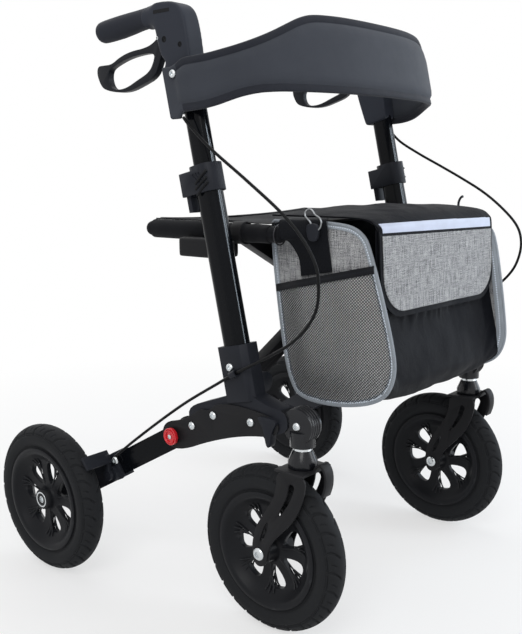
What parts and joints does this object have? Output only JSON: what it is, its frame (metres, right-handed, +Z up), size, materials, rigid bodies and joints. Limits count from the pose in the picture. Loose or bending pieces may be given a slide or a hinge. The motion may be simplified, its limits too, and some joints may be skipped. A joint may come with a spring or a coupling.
{
  "type": "all-terrain rollator",
  "caption": "folding all-terrain rollator with large spoked air-tyred wheels, height-adjustable brake handles, sling seat, covered shopping bag and padded curved backrest band",
  "frame": {"origin": "on the floor, under the middle of the part's box", "axes": "+Z is up, the front casters and the bag are towards -Y, the handgrips point to +Y, and the user's right side is at -X"},
  "size_m": [0.72, 0.7, 0.9093],
  "materials": {
    "hub_casting": "fine-grained dark slate moulding",
    "plate": "matt powder coat",
    "tube": "gloss black lacquer",
    "plastic": "fine grain",
    "handle_plastic": "fine grain, satin",
    "grip_rubber": "soft matt rubber",
    "bolt": "bright zinc",
    "button": "bright red",
    "rim": "satin moulded black",
    "tyre": "matt rubber with tread",
    "rail": "black",
    "seat_cloth": "woven black",
    "bag_cloth": "heather grey, mesh and black panels with piping",
    "cover_cloth": "heather grey with a pale strip",
    "pad_cloth": "matt padded cloth with a darker binding",
    "cable": "black sheath"
  },
  "bodies": {
    "right_frame": {"right_hub": "hub_casting", "right_cheek_plates": "plate", "right_post": "tube", "right_clamp_collar": "plastic", "right_rear_leg": "tube", "right_wheel_bracket": "plastic", "right_rear_axle": "bolt", "right_saddle": "plastic", "right_frame_bolts": "bolt", "right_brake_cable": "cable"},
    "left_frame": {"left_hub": "hub_casting", "left_cheek_plates": "plate", "left_post": "tube", "left_clamp_collar": "plastic", "left_rear_leg": "tube", "left_wheel_bracket": "plastic", "left_rear_axle": "bolt", "left_saddle": "plastic", "left_frame_bolts": "bolt", "left_brake_cable": "cable"},
    "right_handle": {"right_inner_tube": "tube", "right_handle_shell": "handle_plastic", "right_grip": "grip_rubber", "right_handle_screws": "bolt", "backrest": "pad_cloth"},
    "left_handle": {"left_inner_tube": "tube", "left_handle_shell": "handle_plastic", "left_grip": "grip_rubber", "left_handle_screws": "bolt"},
    "brace_a": {"cross_brace_a": "tube", "brace_pin": "bolt", "left_seat_rail": "rail"},
    "brace_b": {"cross_brace_b": "tube", "right_seat_rail": "rail"},
    "seat": {"seat_sling": "seat_cloth", "bag": "bag_cloth"},
    "bag_cover": {"bag_flap": "cover_cloth"},
    "right_lever": {"right_brake_lever": "handle_plastic"},
    "right_clamp": {"right_clamp_lever": "plastic"},
    "right_brake": {"right_brake_arm": "plate"},
    "right_release": {"right_button": "button"},
    "right_caster": {"right_fork": "plate", "right_caster_stem": "bolt", "right_front_axle": "bolt"},
    "right_front_wheel": {"right_front_rim": "rim", "right_front_tyre": "tyre"},
    "right_rear_wheel": {"right_rear_rim": "rim", "right_rear_tyre": "tyre"},
    "left_lever": {"left_brake_lever": "handle_plastic"},
    "left_clamp": {"left_clamp_lever": "plastic"},
    "left_brake": {"left_brake_arm": "plate"},
    "left_release": {"left_button": "button"},
    "left_caster": {"left_fork": "plate", "left_caster_stem": "bolt", "left_front_axle": "bolt"},
    "left_front_wheel": {"left_front_rim": "rim", "left_front_tyre": "tyre"},
    "left_rear_wheel": {"left_rear_rim": "rim", "left_rear_tyre": "tyre"}
  },
  "joints": [
    {"name": "fold", "type": "hinge", "parent": "right_frame", "child": "brace_a", "pos_m": [-0.215, -0.116, 0.36], "axis": [0, -1, 0], "range_deg": [0, 27], "deforming": ["seat_sling", "bag", "bag_flap", "backrest"]},
    {"name": "fold_cross", "type": "hinge", "parent": "brace_a", "child": "brace_b", "pos_m": [0, -0.105, 0.47242], "axis": [0, -1, 0], "range_deg": [-54, 0]},
    {"name": "fold_left", "type": "hinge", "parent": "brace_b", "child": "left_frame", "pos_m": [0.215, -0.094, 0.36], "axis": [0, -1, 0], "range_deg": [0, 27]},
    {"name": "fold_seat", "type": "hinge", "parent": "brace_a", "child": "seat", "pos_m": [0.2, -0.116, 0.577], "axis": [0, -1, 0], "range_deg": [-27, 0]},
    {"name": "cover", "type": "hinge", "parent": "seat", "child": "bag_cover", "pos_m": [0, -0.13, 0.6027], "axis": [-1, 0, 0], "range_deg": [0, 50]},
    {"name": "height", "type": "slide", "parent": "right_frame", "child": "right_handle", "axis": [0, 0.2147, 0.9767], "range_m": [-0.05, 0.065], "deforming": ["right_brake_cable"]},
    {"name": "height_left", "type": "slide", "parent": "left_frame", "child": "left_handle", "axis": [0, 0.2147, 0.9767], "range_m": [-0.05, 0.065], "deforming": ["left_brake_cable"]},
    {"name": "right_squeeze", "type": "hinge", "parent": "right_handle", "child": "right_lever", "pos_m": [-0.25, 0.00574, 0.85929], "axis": [1, 0, 0], "range_deg": [0, 12], "stiffness_Nm_per_rad": 4, "springref_deg": -9.74},
    {"name": "right_brake_press", "type": "hinge", "parent": "right_frame", "child": "right_brake", "pos_m": [-0.299, 0.118, 0.176], "axis": [-1, 0, 0], "range_deg": [0, 6]},
    {"name": "right_clamp_open", "type": "hinge", "parent": "right_frame", "child": "right_clamp", "pos_m": [-0.25, -0.04453, 0.64383], "axis": [1, 0, 0], "range_deg": [0, 80]},
    {"name": "right_release_push", "type": "slide", "parent": "right_frame", "child": "right_release", "axis": [1, 0, 0], "range_m": [0, 0.004], "stiffness_N_per_m": 800, "springref_m": -0.002},
    {"name": "right_swivel", "type": "hinge", "parent": "right_frame", "child": "right_caster", "pos_m": [-0.25, -0.247, 0.257], "axis": [0, 0, 1], "continuous": true},
    {"name": "right_front_roll", "type": "hinge", "parent": "right_caster", "child": "right_front_wheel", "pos_m": [-0.25, -0.192, 0.125], "axis": [1, 0, 0], "continuous": true},
    {"name": "right_rear_roll", "type": "hinge", "parent": "right_frame", "child": "right_rear_wheel", "pos_m": [-0.338, 0.225, 0.125], "axis": [1, 0, 0], "continuous": true},
    {"name": "left_squeeze", "type": "hinge", "parent": "left_handle", "child": "left_lever", "pos_m": [0.25, 0.00574, 0.85929], "axis": [1, 0, 0], "range_deg": [0, 12], "stiffness_Nm_per_rad": 4, "springref_deg": -9.74},
    {"name": "left_brake_press", "type": "hinge", "parent": "left_frame", "child": "left_brake", "pos_m": [0.299, 0.118, 0.176], "axis": [-1, 0, 0], "range_deg": [0, 6]},
    {"name": "left_clamp_open", "type": "hinge", "parent": "left_frame", "child": "left_clamp", "pos_m": [0.25, -0.04453, 0.64383], "axis": [1, 0, 0], "range_deg": [0, 80]},
    {"name": "left_release_push", "type": "slide", "parent": "left_frame", "child": "left_release", "axis": [-1, 0, 0], "range_m": [0, 0.004], "stiffness_N_per_m": 800, "springref_m": -0.002},
    {"name": "left_swivel", "type": "hinge", "parent": "left_frame", "child": "left_caster", "pos_m": [0.25, -0.247, 0.257], "axis": [0, 0, 1], "continuous": true},
    {"name": "left_front_roll", "type": "hinge", "parent": "left_caster", "child": "left_front_wheel", "pos_m": [0.25, -0.192, 0.125], "axis": [1, 0, 0], "continuous": true},
    {"name": "left_rear_roll", "type": "hinge", "parent": "left_frame", "child": "left_rear_wheel", "pos_m": [0.338, 0.225, 0.125], "axis": [1, 0, 0], "continuous": true}
  ],
  "couplings": [
    {"joint": "fold_cross", "follows": "fold", "ratio": -2},
    {"joint": "fold_left", "follows": "fold", "ratio": 1},
    {"joint": "fold_seat", "follows": "fold", "ratio": -1},
    {"joint": "height_left", "follows": "height", "ratio": 1},
    {"joint": "right_brake_press", "follows": "right_squeeze", "ratio": 0.5},
    {"joint": "left_brake_press", "follows": "left_squeeze", "ratio": 0.5}
  ]
}
